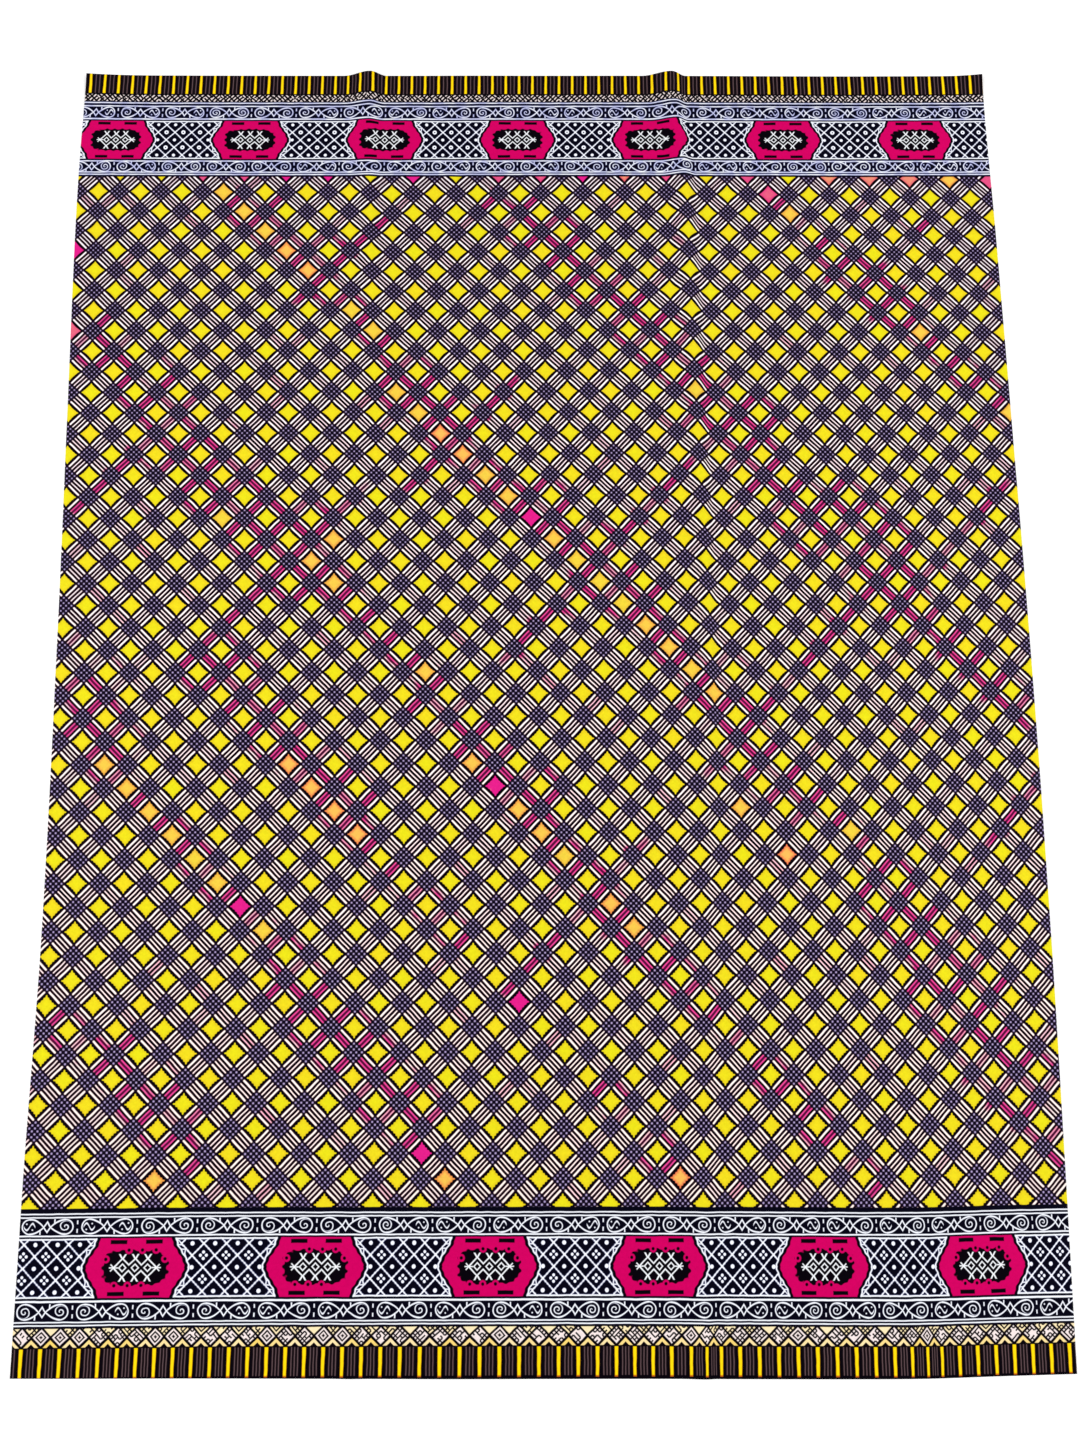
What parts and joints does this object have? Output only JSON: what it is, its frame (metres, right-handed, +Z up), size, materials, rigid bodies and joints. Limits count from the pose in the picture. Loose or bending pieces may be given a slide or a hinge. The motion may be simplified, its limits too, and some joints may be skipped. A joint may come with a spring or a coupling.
{
  "type": "wax print fabric",
  "caption": "Flat cut length of wax print cotton with a border along each selvedge and two soft fold creases.",
  "frame": {"origin": "on the surface under the middle of the cloth's outline", "axes": "+Z up off the surface, +Y across the loom from the lower selvedge to the upper one with the raised creases, +X along the cut length to the right"},
  "size_m": [0.9096, 1.2198, 0.0082],
  "materials": {
    "print_cotton": "plain-woven cotton with a light waxed sheen, printed on both faces"
  },
  "bodies": {
    "root": {"cloth_length": "print_cotton"}
  },
  "joints": []
}
